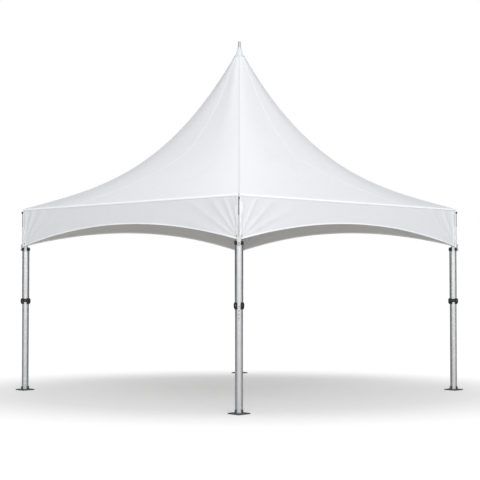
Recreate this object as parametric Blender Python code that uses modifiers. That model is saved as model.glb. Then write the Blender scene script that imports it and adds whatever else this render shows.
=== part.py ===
# High-peak frame tent, 15 feet square, with a white fabric top and arched valances.
# Metres, +Z up, origin on the ground at the middle of the four legs.
# The first corner is the one at +X +Y and the others follow by quarter turns about Z.

import math

import bmesh
import bpy
from mathutils import Matrix, Vector

# Fabric top
SIDE = 4.572            # eave length, 15 feet
EAVE_Z = 2.690          # height of the fold between roof and valance
TIP_Z = 2.130           # lowest point of the valance, at the corners
ARCH_RISE = 0.262       # how far the valance's lower edge rises at mid side
FABRIC = 0.004          # thickness given to the fabric solids
SLOT = 0.016            # the valances stop this far short of the corner
HIP_HEIGHTS = (0.0, 0.298, 0.488, 2.429)   # Bezier heights of the hip above the eave
RING_RADIUS = 0.046     # radius of the roof's top edge at the mast
HIP_SQUARENESS = 0.18   # how far the hips are rounded over most of the roof
CROWN_FADE = 0.05       # share of the roof over which its section turns round
ROOF_RINGS = 16
ROOF_SEGMENTS = 40
VALANCE_STEPS = 24

# Legs
LEG_AXIS = 2.255        # x and y of each leg's axis
LEG_R = 0.052           # upper leg, outer radius
LEG_WALL = 0.0027
INNER_LEG_R = 0.049     # lower leg, which slides inside the upper one
INNER_WALL = 0.003
SPLICE_Z = 1.300        # lower end of the upper leg
LEG_TOP = 2.066
OVERLAP_TOP = 1.700     # top of the lower leg, inside the upper leg
HOLE_R = 0.006
HOLE_PITCH = 0.067
HOLES = 3
PIN_Z = 1.313           # the hole in use, seen through the upper leg
SEGMENTS = 24

# Foot
PLATE = 0.200
PLATE_T = 0.010
EAR_H = 0.045
EAR_REACH = 0.076       # how far the ears reach from the leg's axis, at the plate
EAR_TOP_REACH = 0.060
EAR_T = 0.010

# Splice collar
BAND_R = 0.0585
BAND_Z0 = 1.307
BAND_Z1 = 1.357
LUG_REACH = 0.093
LUG_HALF_H = 0.050
LUG_T = 0.026
COLLAR_GAP = 0.026      # half width of the gap on the outer diagonal

# Leg head and the bracket that holds the fabric corner down
HEAD_R = 0.054
HEAD_TOP = 2.122
KNOB_REACH = 0.076
KNOB_R = 0.014
KNOB_Z = 2.094
BRACKET_Z = 2.088       # centre of the bracket's round lower end
BRACKET_R = 0.022
BRACKET_TOP = 2.165
BRACKET_TOP_HALF = 0.030
BRACKET_IN = 0.046
BRACKET_OUT = 0.0665
BOSS_REACH = 0.082

# Corner frame: upright, elbow and the stud that carries the corner rod
UPRIGHT_R = 0.02415
RAIL_R = 0.030
RAIL_WALL = 0.003
RAIL_Z = 2.648
SLEEVE_R = 0.0343
SLEEVE_LENGTH = 0.300
ELBOW_HALF = 0.033
SPIGOT_REACH = 0.150
STUD_R = 0.007
ROD_OFFSET = 0.0605     # corner rod's axis, outward from the leg's axis
ROD_R = 0.008
TOP_KNOB_R = 0.013
TOP_KNOB_HALF = 0.010

# Mast and cross cables
CABLE_R = 0.005
CABLE_Z = 2.515         # height of the cables at the mast foot
FOOT_R = 0.075
FOOT_Z0 = 2.480
FOOT_Z1 = 2.550
SOCKET_DEPTH = 0.050
MAST_R = 0.0242
MAST_WALL = 0.003
CAP_R = 0.0215
CAP_BASE_Z = 5.130
CAP_TOP_Z = 5.225
BOOT_T = 0.003
BOOT_LIFT = 0.0012      # the boot's clearance over the roof
BOOT_HEM_R = 0.062      # radius at which the boot's skirt ends on the roof
BOOT_WAIST_R = 0.0375
BOOT_WAIST_Z = 5.082
BOOT_NECK_R = 0.0270

GAP = 0.0003            # running gap between pieces that touch
HALF = SIDE / 2
HIP = HALF * math.sqrt(2)
RAIL_AXIS = HALF - FABRIC - GAP - SLEEVE_R
DIAGONAL = Vector((1, 1, 0)).normalized()
ACROSS = Vector((-1, 1, 0)).normalized()
LEG = Vector((LEG_AXIS, LEG_AXIS, 0))
CORNERS = ("right", "back", "left", "front")
SIDES = ("back_right", "back_left", "front_left", "front_right")


def clear_scene():
    """Start from an empty scene."""
    for old in list(bpy.data.objects):
        bpy.data.objects.remove(old, do_unlink=True)


def make_collection(name):
    """A new collection linked to the scene."""
    made = bpy.data.collections.new(name)
    bpy.context.scene.collection.children.link(made)
    return made


def make_material(name, colour, roughness, metallic=0.0):
    """A Principled material of one colour."""
    made = bpy.data.materials.new(name)
    made.use_nodes = True
    shader = made.node_tree.nodes["Principled BSDF"]
    shader.inputs["Base Color"].default_value = (*colour, 1.0)
    shader.inputs["Roughness"].default_value = roughness
    shader.inputs["Metallic"].default_value = metallic
    return made


clear_scene()
TENT = make_collection("frame_tent")
GUIDES = make_collection("cutters")


def add_object(name, data, collection=TENT):
    """Link a new object that shows the given mesh or curve."""
    made = bpy.data.objects.new(name, data)
    collection.objects.link(made)
    return made


def baked(thing):
    """The mesh of an object as its modifiers leave it, placed where the object stands.

    The object and its cutters are removed, since each finished piece shows only the mesh.
    """
    bpy.context.view_layer.update()
    seen = thing.evaluated_get(bpy.context.evaluated_depsgraph_get())
    mesh = bpy.data.meshes.new_from_object(seen)
    mesh.transform(thing.matrix_world)
    for used in list(GUIDES.objects):
        bpy.data.objects.remove(used)
    return mesh


def bmesh_object(name, shape, collection=GUIDES):
    """An object from a finished bmesh."""
    mesh = bpy.data.meshes.new(name)
    shape.to_mesh(mesh)
    shape.free()
    return add_object(name, mesh, collection)


def rod(name, start, end, radius, segments=SEGMENTS):
    """A solid cylinder from one point to another."""
    start, end = Vector(start), Vector(end)
    along = end - start
    turn = along.to_track_quat("Z", "Y").to_matrix().to_4x4()
    shape = bmesh.new()
    bmesh.ops.create_cone(
        shape, cap_ends=True, segments=segments, radius1=radius, radius2=radius, depth=along.length,
        matrix=Matrix.Translation((start + end) / 2) @ turn)
    return bmesh_object(name, shape)


def block(name, low, high):
    """A solid box between two corners."""
    low, high = Vector(low), Vector(high)
    shape = bmesh.new()
    bmesh.ops.create_cube(shape, size=1.0, matrix=Matrix.LocRotScale((low + high) / 2, None, high - low))
    return bmesh_object(name, shape)


def turned(name, profile, segments=SEGMENTS, closed=True):
    """A profile of radius and height, turned about Z. Its outer side runs from top to bottom."""
    count = len(profile)
    edges = [(i, (i + 1) % count) for i in range(count if closed else count - 1)]
    mesh = bpy.data.meshes.new(name)
    mesh.from_pydata([(r, 0, z) for r, z in profile], edges, [])
    made = add_object(name, mesh, GUIDES)
    screw = made.modifiers.new("turn", "SCREW")
    screw.steps = segments
    screw.render_steps = segments
    screw.use_merge_vertices = True
    screw.merge_threshold = 0.00005
    return made


def combine(base, others, operation):
    """Join other solids to a base, or cut them from it, with exact Booleans."""
    for other in others:
        other.hide_render = True
        other.display_type = "WIRE"
        change = base.modifiers.new(operation.lower(), "BOOLEAN")
        change.operation = operation
        change.object = other
    return base


def quarter_turns(names, mesh, material):
    """Four objects that share a mesh, each a quarter turn on from the last."""
    mesh.materials.clear()
    mesh.materials.append(material)
    mesh.shade_smooth()
    mesh.set_sharp_from_angle(angle=math.radians(35))
    for turn, name in enumerate(names):
        add_object(name, mesh).rotation_euler.z = turn * math.pi / 2


def single(name, mesh, material):
    """One object on the tent's own axis."""
    quarter_turns([name], mesh, material)


def at_leg(outward=0.0, across=0.0, z=0.0):
    """A point measured from the first leg's axis: outward on the diagonal, across it, and up."""
    return LEG + DIAGONAL * outward + ACROSS * across + Vector((0, 0, z))


def moved(thing, place):
    """Move an object, and return it."""
    thing.location = place
    return thing


def tube(name, radius, wall, low, high):
    """A round tube on the first leg's axis."""
    profile = [(radius, high), (radius, low), (radius - wall, low), (radius - wall, high)]
    return moved(turned(name, profile), LEG)


# Legs: a steel foot, a lower tube that slides in an upper one, and the collar that grips them
def base_plate(material):
    """A square plate with four upright ears that hold the leg's foot."""
    half = PLATE / 2
    plate = block("plate", LEG - Vector((half, half, 0)), LEG + Vector((half, half, PLATE_T)))
    inner = INNER_LEG_R + GAP
    ears = []
    for turn in range(4):
        ear = block("ear", (inner, -EAR_T / 2, PLATE_T / 2), (EAR_REACH, EAR_T / 2, PLATE_T + EAR_H))
        for corner in ear.data.vertices:
            if corner.co.x > inner + GAP and corner.co.z > PLATE_T:
                corner.co.x = EAR_TOP_REACH
        ear.rotation_euler.z = turn * math.pi / 2
        ears.append(moved(ear, LEG))
    quarter_turns(corner_names("base_plate"), baked(combine(plate, ears, "UNION")), material)


def corner_names(piece):
    return [f"{piece}_{corner}" for corner in CORNERS]


def side_names(piece):
    return [f"{piece}_{side}" for side in SIDES]


def lower_leg(material):
    """The inner tube, with a row of height holes through it on the diagonal."""
    leg = tube("lower", INNER_LEG_R, INNER_WALL, PLATE_T + GAP, OVERLAP_TOP)
    heights = [PIN_Z - step * HOLE_PITCH for step in range(HOLES)]
    drills = [rod("drill", at_leg(0, 0, z), at_leg(0.1, 0, z), HOLE_R, 12) for z in heights]
    quarter_turns(corner_names("lower_leg"), baked(combine(leg, drills, "DIFFERENCE")), material)


def upper_leg(material):
    """The outer tube, from the splice to the leg's head."""
    leg = tube("upper", LEG_R, LEG_WALL, SPLICE_Z, LEG_TOP)
    pin_hole = rod("drill", at_leg(0, 0, PIN_Z), at_leg(0.1, 0, PIN_Z), HOLE_R, 12)
    quarter_turns(corner_names("upper_leg"), baked(combine(leg, [pin_hole], "DIFFERENCE")), material)


def splice_collar(material):
    """A split band with four curved lugs, open on the leg's outer diagonal."""
    middle = (BAND_Z0 + BAND_Z1) / 2
    band = rod("band", at_leg(z=BAND_Z0), at_leg(z=BAND_Z1), BAND_R)
    lugs = []
    for turn in (0, math.pi / 2):
        lug = rod("lug", (0, -LUG_T / 2, 0), (0, LUG_T / 2, 0), 1.0, 28)
        lug.scale = (LUG_REACH, 1, LUG_HALF_H)
        lug.rotation_euler.z = turn
        lugs.append(moved(lug, at_leg(z=middle)))
    bore = rod("bore", at_leg(z=BAND_Z0 - 0.1), at_leg(z=BAND_Z1 + 0.1), LEG_R + GAP)
    gap = block("gap", (0.03, -COLLAR_GAP, -0.1), (0.12, COLLAR_GAP, 0.1))
    gap.rotation_euler.z = math.pi / 4
    moved(gap, at_leg(z=middle))
    combine(band, lugs, "UNION")
    combine(band, [bore, gap], "DIFFERENCE")
    quarter_turns(corner_names("splice_collar"), baked(band), material)


def leg_head(material):
    """The casting on the leg: four knobs, and a bracket on the outer diagonal."""
    head = rod("head", at_leg(z=LEG_TOP + GAP), at_leg(z=HEAD_TOP), HEAD_R)
    knobs = []
    for way in (Vector((1, 0, 0)), Vector((0, 1, 0))):
        ends = [at_leg(z=KNOB_Z) + way * reach for reach in (-KNOB_REACH, KNOB_REACH)]
        knobs.append(rod("knob", *ends, KNOB_R, 16))
    foot = [at_leg(reach, 0, BRACKET_Z) for reach in (BRACKET_IN, BRACKET_OUT)]
    rounded = rod("bracket_foot", *foot, BRACKET_R, 24)
    shield = bmesh.new()
    outline = ((BRACKET_R, BRACKET_Z), (BRACKET_TOP_HALF, BRACKET_TOP),
               (-BRACKET_TOP_HALF, BRACKET_TOP), (-BRACKET_R, BRACKET_Z))
    inner = [shield.verts.new(at_leg(BRACKET_IN if z < HEAD_TOP else LEG_R + GAP, y, z)) for y, z in outline]
    face = shield.faces.new(inner)
    grown = bmesh.ops.extrude_face_region(shield, geom=[face])
    for vert in grown["geom"]:
        if isinstance(vert, bmesh.types.BMVert):
            outward = (vert.co - LEG).dot(DIAGONAL)
            vert.co += DIAGONAL * (BRACKET_OUT - outward)
    bmesh.ops.recalc_face_normals(shield, faces=shield.faces)
    plate = bmesh_object("shield", shield)
    boss = rod("boss", at_leg(BRACKET_IN, 0, BRACKET_Z), at_leg(BOSS_REACH, 0, BRACKET_Z), BRACKET_R * 0.6, 16)
    combine(head, knobs + [rounded, plate, boss], "UNION")
    quarter_turns(corner_names("leg_head"), baked(head), material)


# Eave frame: uprights, elbows, rails and corner rods
def corner_frame(material):
    """An upright on the leg's head, the elbow that joins two rails, and the stud for the corner rod."""
    elbow_centre = Vector((RAIL_AXIS, RAIL_AXIS, RAIL_Z))
    reach = Vector((ELBOW_HALF, ELBOW_HALF, ELBOW_HALF))
    upright = rod("upright", at_leg(z=HEAD_TOP + GAP), at_leg(z=RAIL_Z), UPRIGHT_R)
    elbow = block("elbow", elbow_centre - reach, elbow_centre + reach)
    spigot_r = RAIL_R - RAIL_WALL - GAP
    spigots = [rod("spigot", elbow_centre, elbow_centre - way * SPIGOT_REACH, spigot_r)
               for way in (Vector((1, 0, 0)), Vector((0, 1, 0)))]
    stud = rod("stud", at_leg(0, 0, RAIL_Z), at_leg(ROD_OFFSET, 0, RAIL_Z), STUD_R, 16)
    knob = rod("knob", at_leg(ROD_OFFSET - TOP_KNOB_HALF, 0, RAIL_Z),
               at_leg(ROD_OFFSET + TOP_KNOB_HALF, 0, RAIL_Z), TOP_KNOB_R, 20)
    combine(upright, [elbow, *spigots, stud, knob], "UNION")
    quarter_turns(corner_names("corner_frame"), baked(upright), material)


def corner_rod(material):
    """A thin rod outside the fabric corner, from the bracket up to the stud's knob."""
    low = at_leg(ROD_OFFSET, 0, BRACKET_TOP + GAP)
    high = at_leg(ROD_OFFSET, 0, RAIL_Z - TOP_KNOB_R - GAP)
    quarter_turns(corner_names("corner_rod"), baked(rod("corner_rod", low, high, ROD_R, 16)), material)


def eave_rail(material):
    """A rail between two elbows, with the sleeve that joins its halves."""
    end = RAIL_AXIS - ELBOW_HALF - GAP
    bore = RAIL_R - RAIL_WALL
    half_sleeve = SLEEVE_LENGTH / 2
    outline = [(RAIL_R, end), (RAIL_R, half_sleeve), (SLEEVE_R, half_sleeve), (SLEEVE_R, -half_sleeve),
               (RAIL_R, -half_sleeve), (RAIL_R, -end), (bore, -end), (bore, end)]
    rail = turned("rail", outline)
    rail.rotation_euler = (0, math.pi / 2, 0)
    moved(rail, (0, RAIL_AXIS, RAIL_Z))
    quarter_turns(side_names("eave_rail"), baked(rail), material)


# Mast: crossed cables carry its foot, and it lifts the roof to the peak
def cross_cable(material):
    """A taut cable from the elbow down to the mast's foot."""
    wire = bpy.data.curves.new("cable", "CURVE")
    wire.dimensions = "3D"
    wire.bevel_depth = CABLE_R
    wire.bevel_resolution = 2
    wire.use_fill_caps = True
    line = wire.splines.new("POLY")
    line.points.add(1)
    slack = 2 * GAP
    outer = math.sqrt(2) * (RAIL_AXIS - ELBOW_HALF) - slack
    line.points[0].co = (*(DIAGONAL * (FOOT_R + slack)), 0)
    line.points[0].co.z = CABLE_Z
    line.points[1].co = (*(DIAGONAL * outer), 0)
    line.points[1].co.z = RAIL_Z
    mesh = baked(add_object("cable", wire, GUIDES))
    weld = bmesh.new()
    weld.from_mesh(mesh)
    bmesh.ops.remove_doubles(weld, verts=weld.verts, dist=0.00005)
    weld.to_mesh(mesh)
    weld.free()
    quarter_turns(corner_names("cross_cable"), mesh, material)


def mast_foot(material):
    """The cast cup that the cables meet and the mast stands in."""
    socket = MAST_R + GAP
    floor = FOOT_Z1 - SOCKET_DEPTH
    profile = [(0, FOOT_Z1 - SOCKET_DEPTH), (socket, floor), (socket, FOOT_Z1), (socket + 0.010, FOOT_Z1),
               (FOOT_R, FOOT_Z1 - 0.020), (FOOT_R, FOOT_Z0 + 0.010), (FOOT_R - 0.020, FOOT_Z0), (0, FOOT_Z0)]
    single("mast_foot", baked(turned("foot", profile, closed=False)), material)


def hip_height(share):
    """Height of the hip at a share of its plan length from the mast, on a cubic Bezier."""
    rise = 1 - share
    weights = ((1 - rise) ** 3, 3 * rise * (1 - rise) ** 2, 3 * rise ** 2 * (1 - rise), rise ** 3)
    return EAVE_Z + sum(weight * height for weight, height in zip(weights, HIP_HEIGHTS))


RING_SHARE = RING_RADIUS / HIP
RING_Z = hip_height(RING_SHARE)


def section_power(share):
    """Power of the roof's section: 2 is a circle, at the mast, and 1 is a square, at the eave."""
    crown = math.exp(-(share - RING_SHARE) / CROWN_FADE)
    return 1 + HIP_SQUARENESS * (1 - share) + (1 - HIP_SQUARENESS * (1 - RING_SHARE)) * crown * (1 - share)


def roof_point(share, angle):
    """A point on the roof: hips lie at angles that are whole quarter turns from the diagonal."""
    power = 2 / section_power(share)
    along, across = math.cos(angle), math.sin(angle)
    outward = math.copysign(abs(along) ** power, along)
    sideways = math.copysign(abs(across) ** power, across)
    flat = (DIAGONAL * outward + ACROSS * sideways) * HIP * share
    return flat + Vector((0, 0, hip_height(share)))


def centre_mast(material):
    """The mast tube, with the crown that spreads the roof's top edge."""
    crown_r = RING_RADIUS - FABRIC * 1.2 - 0.0008
    crown_z = RING_Z - 0.003
    top = CAP_BASE_Z - GAP
    inner = MAST_R - MAST_WALL
    low = FOOT_Z1 - SOCKET_DEPTH + GAP
    profile = [(MAST_R, top), (MAST_R, crown_z + 0.012), (crown_r - 0.006, crown_z), (crown_r, crown_z - 0.006),
               (crown_r, crown_z - 0.016), (MAST_R, crown_z - 0.060), (MAST_R, low), (inner, low), (inner, top)]
    single("centre_mast", baked(turned("mast", profile)), material)


def mast_cap(material):
    """The round-topped aluminium finial, with a spigot down into the mast."""
    spigot = MAST_R - MAST_WALL - GAP
    steps = 6
    dome = [(CAP_R * math.sin(i * math.pi / 2 / steps), CAP_TOP_Z - CAP_R * (1 - math.cos(i * math.pi / 2 / steps)))
            for i in range(steps + 1)]
    profile = dome + [(CAP_R, CAP_BASE_Z + 0.008), (MAST_R, CAP_BASE_Z + 0.008), (MAST_R, CAP_BASE_Z),
                      (spigot, CAP_BASE_Z), (spigot, CAP_BASE_Z - 0.060), (0, CAP_BASE_Z - 0.060)]
    single("mast_cap", baked(turned("cap", profile, closed=False)), material)


def peak_boot(material):
    """The white sleeve that covers the roof's top edge and closes on the mast."""
    hem_z = hip_height(BOOT_HEM_R / HIP)
    hem_r = BOOT_HEM_R + BOOT_LIFT
    ring_r = RING_RADIUS + BOOT_LIFT
    neck_z = CAP_BASE_Z - 0.002
    inner_neck = MAST_R + GAP
    profile = [(BOOT_NECK_R, neck_z), (BOOT_WAIST_R, BOOT_WAIST_Z), (ring_r + BOOT_T, RING_Z + 0.005),
               (hem_r + BOOT_T, hem_z), (hem_r, hem_z), (ring_r, RING_Z + 0.003),
               (inner_neck, BOOT_WAIST_Z), (inner_neck, neck_z)]
    single("peak_boot", baked(turned("boot", profile)), material)


# Fabric: the roof and four valances
def canopy_top(material):
    """The roof: one sheet from the mast's crown down to the square eave."""
    shape = bmesh.new()
    rings = []
    for ring in range(ROOF_RINGS + 1):
        share = RING_SHARE + (1 - RING_SHARE) * (ring / ROOF_RINGS) ** 1.6
        rings.append([shape.verts.new(roof_point(share, 2 * math.pi * step / ROOF_SEGMENTS))
                      for step in range(ROOF_SEGMENTS)])
    for upper, lower in zip(rings, rings[1:]):
        for step in range(ROOF_SEGMENTS):
            after = (step + 1) % ROOF_SEGMENTS
            shape.faces.new((upper[step], lower[step], lower[after], upper[after]))
    roof = bmesh_object("roof", shape)
    thicken(roof)
    single("canopy_top", baked(roof), material)


def thicken(sheet):
    """Give a sheet its thickness on the inner side."""
    wall = sheet.modifiers.new("wall", "SOLIDIFY")
    wall.thickness = FABRIC
    wall.offset = -1
    wall.use_even_offset = True


def valance(material):
    """A flat hanging panel whose lower edge is a parabola, lowest at the corners."""
    end = HALF - SLOT
    top = EAVE_Z - FABRIC - 0.0004
    shape = bmesh.new()
    columns = []
    for step in range(VALANCE_STEPS + 1):
        x = end * (2 * step / VALANCE_STEPS - 1)
        low = TIP_Z + ARCH_RISE * (1 - (x / HALF) ** 2)
        columns.append((shape.verts.new((x, HALF, low)), shape.verts.new((x, HALF, top))))
    for one, other in zip(columns, columns[1:]):
        shape.faces.new((one[0], one[1], other[1], other[0]))
    panel = bmesh_object("panel", shape)
    thicken(panel)
    quarter_turns(side_names("valance"), baked(panel), material)


aluminium = make_material("anodised_aluminium", (0.62, 0.63, 0.65), 0.34, 0.9)
steel = make_material("dark_steel", (0.10, 0.10, 0.105), 0.5, 0.6)
black = make_material("black_casting", (0.02, 0.02, 0.022), 0.45)
wire = make_material("galvanised_wire", (0.42, 0.43, 0.44), 0.4, 0.9)
vinyl = make_material("white_vinyl", (0.86, 0.87, 0.89), 0.5)

base_plate(steel)
lower_leg(aluminium)
splice_collar(black)
upper_leg(aluminium)
leg_head(black)
corner_frame(aluminium)
corner_rod(aluminium)
eave_rail(aluminium)
cross_cable(wire)
mast_foot(aluminium)
centre_mast(aluminium)
mast_cap(aluminium)
peak_boot(vinyl)
canopy_top(vinyl)
valance(vinyl)
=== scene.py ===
import math

import bmesh
import bpy
import numpy as np
from mathutils import Matrix, Vector


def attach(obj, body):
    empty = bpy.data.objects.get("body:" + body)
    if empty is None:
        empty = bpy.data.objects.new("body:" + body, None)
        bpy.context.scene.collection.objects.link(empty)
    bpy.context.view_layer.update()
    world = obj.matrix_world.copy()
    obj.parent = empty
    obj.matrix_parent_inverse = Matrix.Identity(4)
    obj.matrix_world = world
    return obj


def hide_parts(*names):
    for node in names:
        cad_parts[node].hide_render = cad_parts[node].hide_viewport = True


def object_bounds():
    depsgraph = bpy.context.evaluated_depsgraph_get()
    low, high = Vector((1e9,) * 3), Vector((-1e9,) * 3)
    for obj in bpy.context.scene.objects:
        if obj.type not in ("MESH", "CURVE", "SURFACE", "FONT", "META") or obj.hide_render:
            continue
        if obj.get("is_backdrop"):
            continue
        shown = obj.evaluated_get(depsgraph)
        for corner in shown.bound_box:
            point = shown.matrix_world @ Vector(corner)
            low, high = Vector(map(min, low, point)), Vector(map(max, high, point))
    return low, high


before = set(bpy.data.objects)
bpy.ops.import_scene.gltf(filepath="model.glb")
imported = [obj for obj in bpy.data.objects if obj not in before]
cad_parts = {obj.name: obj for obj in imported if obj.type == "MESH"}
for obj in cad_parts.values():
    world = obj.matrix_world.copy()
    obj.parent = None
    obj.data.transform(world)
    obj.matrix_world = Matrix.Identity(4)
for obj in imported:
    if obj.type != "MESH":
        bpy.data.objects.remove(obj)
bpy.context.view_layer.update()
scene = bpy.context.scene


# Studio: a soft sky, brightest overhead and in front of the tent, and one large lamp high on the near
# side. The floor glows for the camera, a painted light: grey under the tent, where its rendered shadow
# shows inside a painted shade, and fading to white round it. The camera stands at eye height off the
# front corner.
class Value:
    """A socket that can be used in arithmetic: each operator adds the Math node that works it out."""

    def __init__(self, nodes, socket):
        self.nodes, self.socket = nodes, socket

    def worked(self, operation, *others):
        """What a Math operation makes of this value and of the others that it takes."""
        return self.nodes.add("Math", {"operation": operation}, dict(enumerate((self, *others))))

    def __add__(self, other):
        return self.worked("ADD", other)

    def __sub__(self, other):
        return self.worked("SUBTRACT", other)

    def __rsub__(self, other):
        return self.nodes.add("Math", {"operation": "SUBTRACT"}, {0: other, 1: self})

    def __mul__(self, other):
        return self.worked("MULTIPLY", other)

    def __truediv__(self, other):
        return self.worked("DIVIDE", other)

    def __abs__(self):
        return self.worked("ABSOLUTE")

    __radd__, __rmul__ = __add__, __mul__


class Nodes:
    """The node tree of a finish or of the sky."""

    def __init__(self, owner):
        owner.use_nodes = True
        self.tree = owner.node_tree

    def add(self, kind, settings, inputs, output=0):
        """Add a node: its settings come first, then a value or link for each socket that is given."""
        made = self.tree.nodes.new("ShaderNode" + kind)
        for name, setting in settings.items():
            setattr(made, name, setting)
        for name, value in inputs.items():
            if isinstance(value, Value):
                self.tree.links.new(value.socket, made.inputs[name])
            else:
                made.inputs[name].default_value = value
        return Value(self, made.outputs[output])

    def step(self, value, low, high, start=0.0, end=1.0):
        """Goes smoothly from start to end as the value goes from low to high."""
        settings = {"interpolation_type": "SMOOTHSTEP"}
        return self.add("MapRange", settings, {0: value, 1: low, 2: high, 3: start, 4: end})

    def part(self, vector, axis):
        """One of a vector's three numbers."""
        return self.add("SeparateXYZ", {}, {0: vector}, axis)

    def along(self, vector, way):
        """How far a vector reaches along a way: their dot product."""
        return self.add("VectorMath", {"operation": "DOT_PRODUCT"}, {0: vector, 1: tuple(way)}, "Value")

    def blend(self, factor, one, other):
        """A colour between two others, each a value or its red, green and blue."""
        one, other = (tone if isinstance(tone, Value) else (*tone, 1) for tone in (one, other))
        return self.add("Mix", {"data_type": "RGBA"}, {0: factor, 6: one, 7: other}, 2)


class Finish(Nodes):
    """A material with one Principled shader. Values that are the same all over are set on its sockets."""

    def __init__(self, name, **constants):
        self.material = bpy.data.materials.new(name)
        super().__init__(self.material)
        self.shader = self.tree.nodes["Principled BSDF"].inputs
        for socket, value in constants.items():
            self.shader[socket.replace("_", " ")].default_value = value
        self.place = self.add("TexCoord", {}, {}, "Object")
        self.cloth = self.add("UVMap", {"uv_map": "metres"}, {}, "UV")

    def stretched(self, place, *scale):
        """Coordinates scaled along each axis, for a pattern that runs along a piece."""
        return self.add("Mapping", {}, {"Vector": place, "Scale": scale})

    def noise(self, scale, detail, roughness=0.55, place=None):
        """Cloudy noise from 0 to 1, with its middle at 0.5."""
        inputs = {"Vector": place or self.place, "Scale": scale, "Detail": detail, "Roughness": roughness}
        return self.add("TexNoise", {}, inputs)

    def bump(self, height, depth, strength=1.0, **under):
        """The normal of a surface that rises by the depth, in metres, as a height goes from 0 to 1."""
        return self.add("Bump", {}, {"Strength": strength, "Distance": depth, "Height": height, **under})

    def feed(self, **sockets):
        """Link what varies over the surface into the shader."""
        for socket, value in sockets.items():
            self.tree.links.new(value.socket, self.shader[socket.replace("_", " ")])
        return self


picture_right = np.array([1, 1, 0]) / math.sqrt(2)
picture_deep = np.array([-1, 1, 0]) / math.sqrt(2)


def as_seen(right, deep, up):
    """A place or a way as the picture shows it: to the right, into its depth, and up."""
    return picture_right * right + picture_deep * deep + np.array([0, 0, up])


def aimed(name, data, place, gaze):
    """Stand the camera or the lamp at a place and turn it to look along a gaze."""
    made = bpy.data.objects.new(name, data)
    scene.collection.objects.link(made)
    made.location = place
    made.rotation_euler = Vector(gaze).to_track_quat("-Z", "Y").to_euler()
    return made


eye = as_seen(0.024, -17.804, 1.643)
pitch, yaw = 0.0331, -0.0008
gaze = as_seen(math.sin(yaw), math.cos(yaw), 0) * math.cos(pitch) + np.array([0, 0, math.sin(pitch)])
focal_pixels, picture_pixels, sensor_width = 1192, 480, 36.0
lens = bpy.data.cameras.new("camera")
lens.sensor_width = sensor_width
lens.lens = sensor_width * focal_pixels / picture_pixels
lens.clip_end = 400.0
scene.camera = aimed("camera", lens, eye, gaze)
scene.view_settings.view_transform = "Standard"

# The sky's glow has three parts: a faint one that weakens behind the tent, a strong one low in front
# and a strong one overhead. The camera sees it plain white.
sky_low, sky_front, sky_top = 0.064, 1.33, 1.22
sky = bpy.data.worlds.new("sky")
scene.world = sky
air = Nodes(sky)
sky_way = air.add("TexCoord", {}, {}, "Generated")
facing = air.along(sky_way, as_seen(0.12, -0.985, 0.12))
height = air.part(sky_way, 2)
glow = (air.step(facing, -0.7, 0.1, 0.15, 1.0) * sky_low
        + air.step(facing, 0.15, 0.8) * air.step(height, 0.15, 0.7, 1.0, 0.0) * sky_front
        + air.step(height, 0.25, 0.95) * sky_top)
seen = air.add("LightPath", {}, {}, "Is Camera Ray")
background = air.tree.nodes["Background"].inputs
background["Color"].default_value = (1, 1, 1, 1)
air.tree.links.new((seen + (1 - seen) * glow).socket, background["Strength"])

lamp_power, lamp_size, lamp_aim = 1180.0, 8.0, 2.5
lamp_place = Vector(as_seen(1.5, -15.0, 12.0))
lamp = bpy.data.lights.new("lamp", "AREA")
lamp.energy = lamp_power
lamp.size = lamp_size
aimed("lamp", lamp, lamp_place, Vector((0, 0, lamp_aim)) - lamp_place)

# The floor's painted shade is an ellipse set a little in front of the tent's middle and squeezed in depth.
# Inside it the floor glows faintly and shows its rendered shadow; beyond it the painted glow rises to
# white.
floor_reach = 90
floor_bounce, floor_mirrored, floor_seen, floor_glow = 0.5, 0.3, 0.34, 0.4
shade_depth, shade_squeeze, shade_inner, shade_outer = -0.3, 0.19, 2.8, 5.55
paving = Finish("pale_floor", Emission_Strength=1.0, Roughness=0.9, Specular_IOR_Level=0.2)
push = (paving.along(paving.place, picture_deep) - shade_depth) * shade_squeeze
pushed = paving.add("VectorMath", {"operation": "SCALE"}, {0: tuple(picture_deep), 3: push})
ground = paving.add("VectorMath", {"operation": "ADD"}, {0: paving.place, 1: pushed})
shade_centre = tuple(as_seen(0, shade_depth, 0))
apart = paving.add("VectorMath", {"operation": "DISTANCE"}, {0: ground, 1: shade_centre}, "Value")
faded = paving.step(apart, shade_inner, shade_outer)
watched = paving.add("LightPath", {}, {}, "Is Camera Ray")
lighting = paving.add("LightPath", {}, {}, "Is Diffuse Ray")
floor_tone = lighting * floor_bounce + watched * (1 - faded) * floor_seen + (1 - watched) * floor_mirrored
paving.feed(Base_Color=floor_tone, Emission_Color=watched * (faded * (1 - floor_glow) + floor_glow))
floor_mesh = bpy.data.meshes.new("floor")
floor_corners = np.array([(-1, -1, 0), (1, -1, 0), (1, 1, 0), (-1, 1, 0)]) * floor_reach
floor_mesh.from_pydata(floor_corners, [], [(0, 1, 2, 3)])
floor_mesh.materials.append(paving.material)
floor = bpy.data.objects.new("floor", floor_mesh)
scene.collection.objects.link(floor)
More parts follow.
